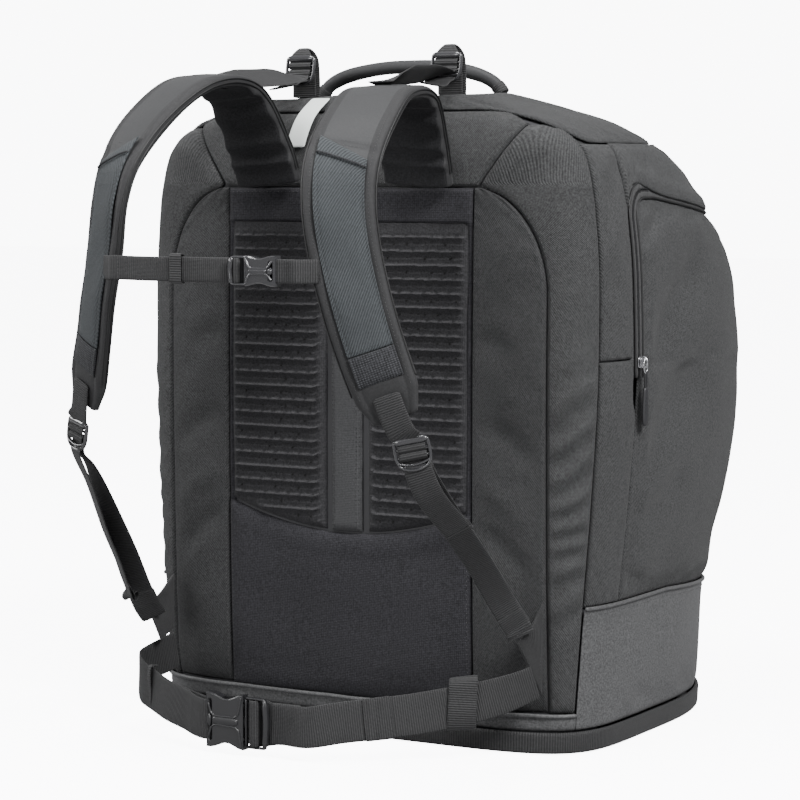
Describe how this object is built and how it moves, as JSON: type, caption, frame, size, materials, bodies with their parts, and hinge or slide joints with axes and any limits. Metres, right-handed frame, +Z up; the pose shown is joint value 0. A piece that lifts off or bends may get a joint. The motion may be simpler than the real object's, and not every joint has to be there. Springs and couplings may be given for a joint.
{
  "type": "ski boot backpack",
  "caption": "Tall bulging ski boot backpack: padded back, curved shoulder straps, sternum and hip belts, U-shaped zipped front flap.",
  "frame": {"origin": "on the floor under the middle of the bag", "axes": "+Z up; -Y is the harness side that lies on the wearer's back; +Y is the bulging front with the zipped flap; +X is to the right for someone looking at the harness"},
  "size_m": [0.5206, 0.7494, 0.6462],
  "materials": {
    "back_mesh": "smooth air mesh",
    "pad_foam": "moulded ridged foam under mesh",
    "pack_fabric": "600 denier weave, matte",
    "tarpaulin": "coated tarpaulin, satin",
    "webbing": "ribbed webbing",
    "strap_fabric": "fine weave and mesh",
    "buckle_plastic": "moulded acetal, semi-gloss",
    "zip_coil": "woven tape and coil",
    "slider_metal": "plated casting",
    "label": "plain printed tape, left blank",
    "board": "stiffening sheet"
  },
  "bodies": {
    "case": {"adjust_strap_left": "webbing", "adjust_strap_right": "webbing", "back_pad_left": "pad_foam", "back_pad_right": "pad_foam", "back_panel": "back_mesh", "back_wing_left": "pack_fabric", "back_wing_right": "pack_fabric", "base_board": "board", "base_panel": "tarpaulin", "base_rim": "webbing", "boot_tub": "tarpaulin", "care_label": "label", "corner_gusset_left": "pack_fabric", "corner_gusset_right": "pack_fabric", "corner_tab_left": "webbing", "corner_tab_right": "webbing", "frame_sheet": "board", "front_band": "pack_fabric", "front_lower_panel": "pack_fabric", "lifter_loop_left": "webbing", "lifter_loop_right": "webbing", "lumbar_pad": "back_mesh", "shoulder_yoke": "strap_fabric", "side_panel_lower_left": "pack_fabric", "side_panel_lower_right": "pack_fabric", "side_panel_upper_left": "pack_fabric", "side_panel_upper_right": "pack_fabric", "spine_strip": "pack_fabric", "top_panel": "pack_fabric", "zip_tape_outer": "zip_coil"},
    "flap": {"front_flap": "pack_fabric", "zip_tape_flap": "zip_coil"},
    "handle": {"grab_handle": "webbing"},
    "slider_left": {"zip_slider_left": "slider_metal"},
    "pull_left": {"zip_pull_left": "buckle_plastic"},
    "lifter_lock_left": {"lifter_buckle_left": "buckle_plastic"},
    "harness_left": {"shoulder_strap_left": "strap_fabric", "strap_rail_left": "strap_fabric", "lifter_strap_left": "webbing"},
    "strap_lock_left": {"ladder_lock_left": "buckle_plastic"},
    "slider_right": {"zip_slider_right": "slider_metal"},
    "pull_right": {"zip_pull_right": "buckle_plastic"},
    "lifter_lock_right": {"lifter_buckle_right": "buckle_plastic"},
    "harness_right": {"shoulder_strap_right": "strap_fabric", "strap_rail_right": "strap_fabric", "lifter_strap_right": "webbing"},
    "strap_lock_right": {"ladder_lock_right": "buckle_plastic"},
    "sternum_left": {"sternum_web_left": "webbing"},
    "sternum_right": {"sternum_web_right": "webbing", "sternum_buckle_socket": "buckle_plastic"},
    "sternum_plug": {"sternum_buckle_frame": "buckle_plastic"},
    "sternum_spring_upper": {"sternum_prong_upper": "buckle_plastic"},
    "sternum_spring_lower": {"sternum_prong_lower": "buckle_plastic"},
    "belt_left": {"hip_web_left": "webbing", "hip_buckle_socket": "buckle_plastic"},
    "belt_right": {"hip_web_right": "webbing"},
    "belt_plug": {"hip_buckle_frame": "buckle_plastic"},
    "belt_spring_upper": {"hip_prong_upper": "buckle_plastic"},
    "belt_spring_lower": {"hip_prong_lower": "buckle_plastic"}
  },
  "joints": [
    {"name": "flap_open", "type": "hinge", "parent": "case", "child": "flap", "pos_m": [0, 0.29889, 0.346], "axis": [-1, 0, 0], "range_deg": [0, 75]},
    {"name": "slider_travel_right", "type": "slide", "parent": "case", "child": "slider_right", "axis": [-0.0403, 0, 0.9992], "range_m": [0, 0.105]},
    {"name": "pull_swing_right", "type": "hinge", "parent": "slider_right", "child": "pull_right", "pos_m": [0.25879, -0.10517, 0.35807], "axis": [0, -1, 0], "range_deg": [0, 140]},
    {"name": "slider_travel_left", "type": "slide", "parent": "case", "child": "slider_left", "axis": [0.0403, 0, 0.9992], "range_m": [0, 0.105]},
    {"name": "pull_swing_left", "type": "hinge", "parent": "slider_left", "child": "pull_left", "pos_m": [-0.25879, -0.10517, 0.35807], "axis": [0, 1, 0], "range_deg": [0, 140]},
    {"name": "handle_swing", "type": "hinge", "parent": "case", "child": "handle", "pos_m": [0, -0.089, 0.6125], "axis": [1, 0, 0], "range_deg": [-40, 40]},
    {"name": "lifter_tilt_right", "type": "hinge", "parent": "case", "child": "lifter_lock_right", "pos_m": [0.08, -0.16, 0.64], "axis": [1, 0, 0], "range_deg": [-25, 3]},
    {"name": "lifter_tilt_left", "type": "hinge", "parent": "case", "child": "lifter_lock_left", "pos_m": [-0.08, -0.16, 0.64], "axis": [1, 0, 0], "range_deg": [-25, 3]},
    {"name": "harness_swing_right", "type": "hinge", "parent": "case", "child": "harness_right", "pos_m": [0, -0.205, 0.517], "axis": [1, 0, 0], "range_deg": [-5, 8]},
    {"name": "harness_swing_left", "type": "hinge", "parent": "case", "child": "harness_left", "pos_m": [0, -0.205, 0.517], "axis": [1, 0, 0], "range_deg": [-5, 8]},
    {"name": "strap_lock_tilt_right", "type": "hinge", "parent": "harness_right", "child": "strap_lock_right", "pos_m": [0.1667, -0.39481, 0.3083], "axis": [0.9272, 0.3746, 0], "range_deg": [-20, 20]},
    {"name": "strap_lock_tilt_left", "type": "hinge", "parent": "harness_left", "child": "strap_lock_left", "pos_m": [-0.1667, -0.39481, 0.3083], "axis": [0.9272, -0.3746, 0], "range_deg": [-20, 20]},
    {"name": "sternum_height_right", "type": "slide", "parent": "harness_right", "child": "sternum_right", "axis": [0, 0, 1], "range_m": [-0.018, 0.018]},
    {"name": "sternum_height_left", "type": "slide", "parent": "harness_left", "child": "sternum_left", "axis": [0, 0, 1], "range_m": [-0.018, 0.018]},
    {"name": "sternum_release", "type": "slide", "parent": "sternum_left", "child": "sternum_plug", "axis": [-1, 0, 0], "range_m": [0, 0.03]},
    {"name": "sternum_squeeze_upper", "type": "hinge", "parent": "sternum_plug", "child": "sternum_spring_upper", "pos_m": [0.046, -0.446, 0.4553], "axis": [0, 1, 0], "range_deg": [0, 5]},
    {"name": "sternum_squeeze_lower", "type": "hinge", "parent": "sternum_plug", "child": "sternum_spring_lower", "pos_m": [0.046, -0.446, 0.4387], "axis": [0, -1, 0], "range_deg": [0, 5]},
    {"name": "belt_lift_right", "type": "hinge", "parent": "case", "child": "belt_right", "pos_m": [0, -0.204, 0.07], "axis": [-1, 0, 0], "range_deg": [0, 35]},
    {"name": "belt_lift_left", "type": "hinge", "parent": "case", "child": "belt_left", "pos_m": [0, -0.204, 0.07], "axis": [-1, 0, 0], "range_deg": [0, 35]},
    {"name": "belt_release", "type": "slide", "parent": "belt_right", "child": "belt_plug", "axis": [1, 0, 0], "range_m": [0, 0.036]},
    {"name": "belt_squeeze_upper", "type": "hinge", "parent": "belt_plug", "child": "belt_spring_upper", "pos_m": [-0.034, -0.332, 0.0464], "axis": [0, -1, 0], "range_deg": [0, 5]},
    {"name": "belt_squeeze_lower", "type": "hinge", "parent": "belt_plug", "child": "belt_spring_lower", "pos_m": [-0.034, -0.332, 0.0146], "axis": [0, 1, 0], "range_deg": [0, 5]}
  ],
  "couplings": [
    {"joint": "harness_swing_left", "follows": "harness_swing_right", "ratio": 1},
    {"joint": "sternum_height_left", "follows": "sternum_height_right", "ratio": 1},
    {"joint": "sternum_squeeze_lower", "follows": "sternum_squeeze_upper", "ratio": 1},
    {"joint": "belt_lift_left", "follows": "belt_lift_right", "ratio": 1},
    {"joint": "belt_squeeze_lower", "follows": "belt_squeeze_upper", "ratio": 1}
  ]
}
